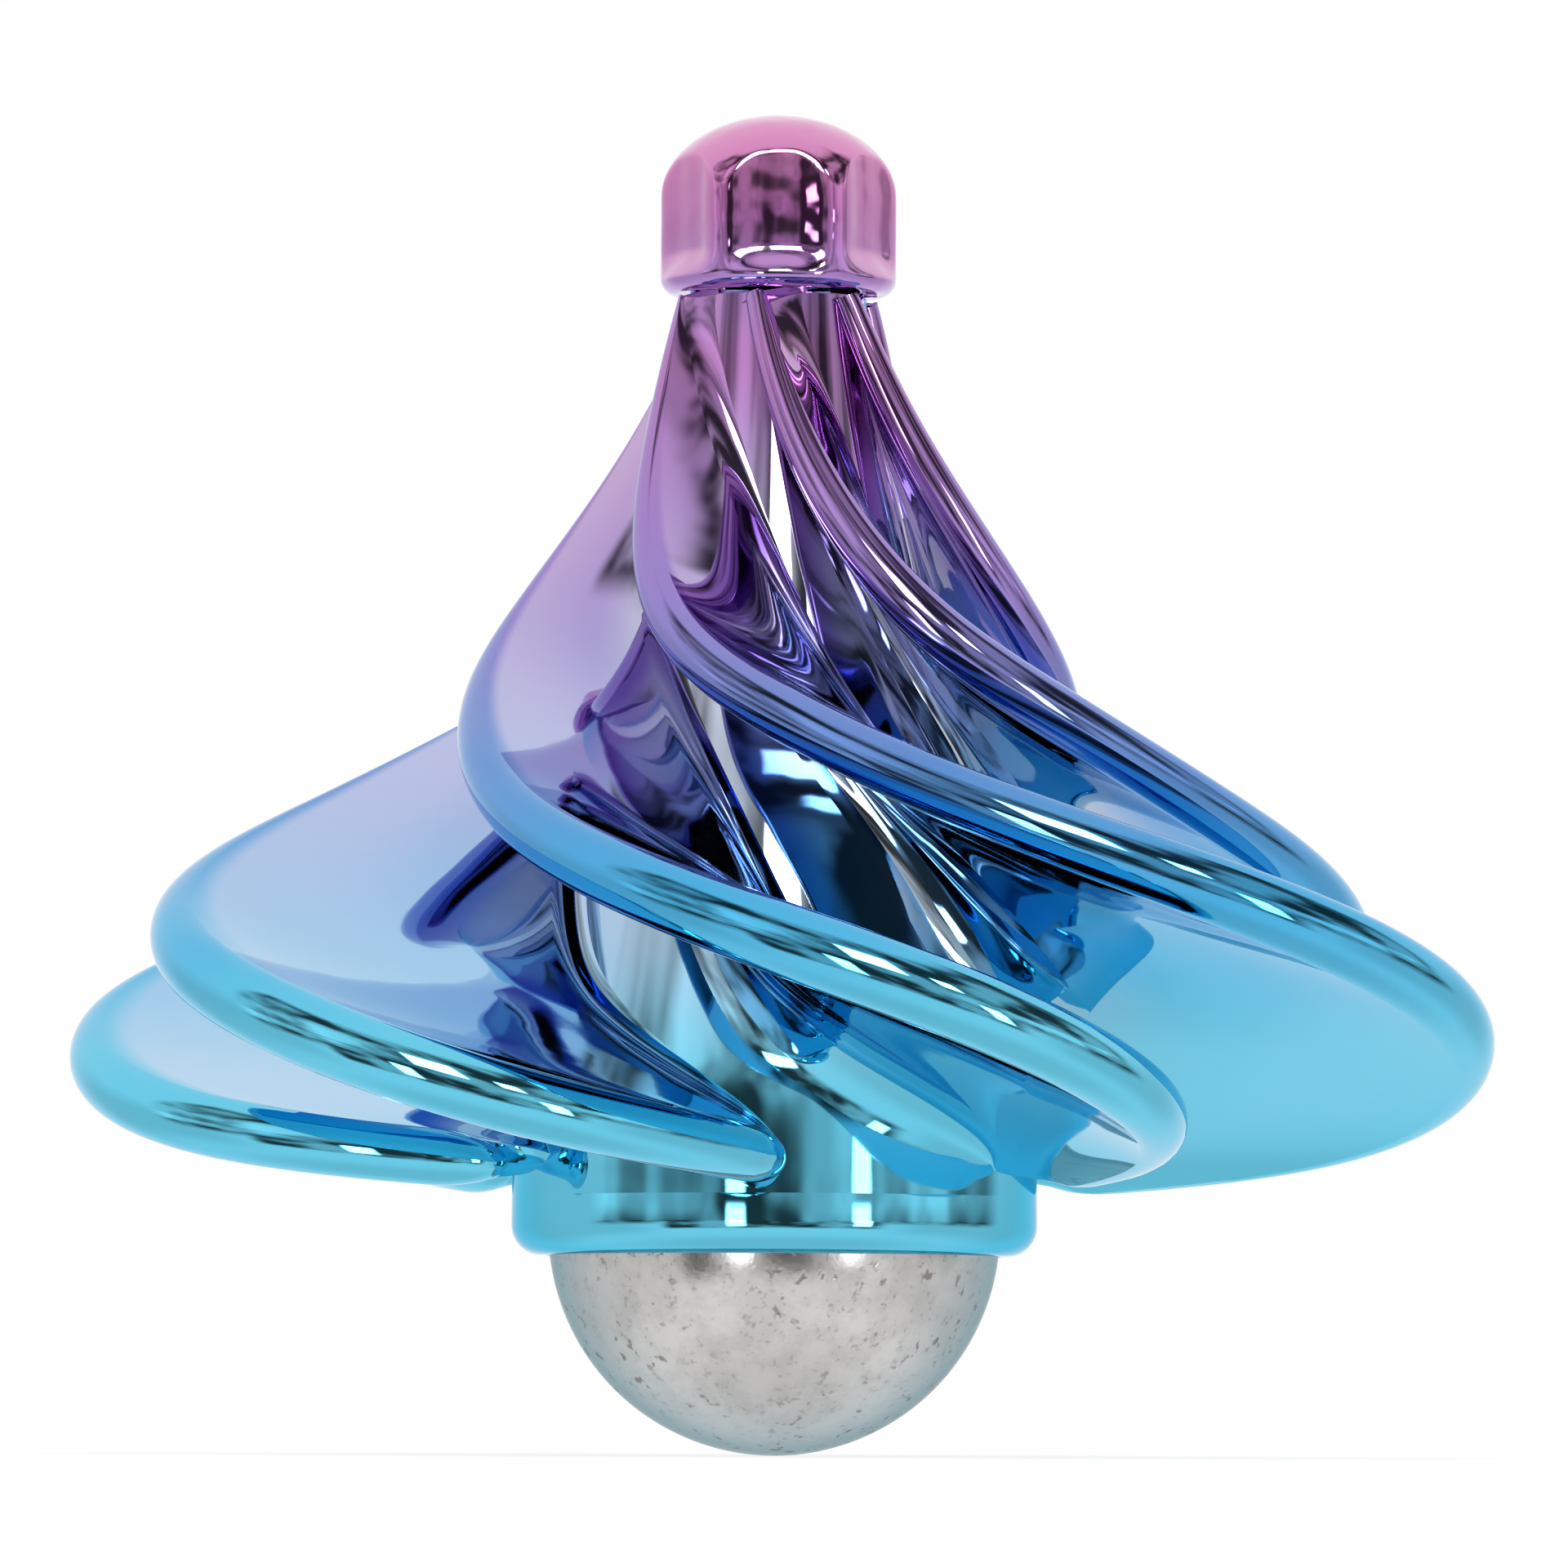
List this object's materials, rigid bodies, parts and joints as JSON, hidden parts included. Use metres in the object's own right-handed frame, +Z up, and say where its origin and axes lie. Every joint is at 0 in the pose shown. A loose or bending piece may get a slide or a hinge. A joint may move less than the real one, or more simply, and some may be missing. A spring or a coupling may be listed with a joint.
{
  "type": "blow-powered spinning top",
  "caption": "Desktop spinning top whose swept spiral vanes catch a breath of air; a hub, vanes and knob spin on a captive steel ball held by a collar.",
  "frame": {"origin": "lowest point of the ball, where the upright top meets the table", "axes": "+Z up along the spin axis, -Y towards the viewer of the picture, +X to that viewer's right"},
  "size_m": [0.0398, 0.0402, 0.0378],
  "materials": {
    "ball_steel": "tumbled bearing steel, satin with fine specks",
    "collar_plating": "ABS with mirror-bright cyan metal plating",
    "hub_plating": "ABS with mirror-bright metal plating, violet at the neck to cyan at the skirt",
    "vane_plating": "ABS with mirror-bright metal plating, violet at the neck through blue to cyan at the rim",
    "knob_plating": "ABS with mirror-bright orchid-pink metal plating"
  },
  "bodies": {
    "ball": {"steel_ball": "ball_steel"},
    "rotor": {"ball_collar": "collar_plating", "rotor_hub": "hub_plating", "vane_1": "vane_plating", "vane_2": "vane_plating", "vane_3": "vane_plating", "vane_4": "vane_plating", "vane_5": "vane_plating", "vane_6": "vane_plating", "knob_cap": "knob_plating"}
  },
  "joints": [
    {"name": "rotor_spin", "type": "hinge", "parent": "ball", "child": "rotor", "pos_m": [0, 0, 0.00635], "axis": [0, 0, 1], "continuous": true}
  ]
}
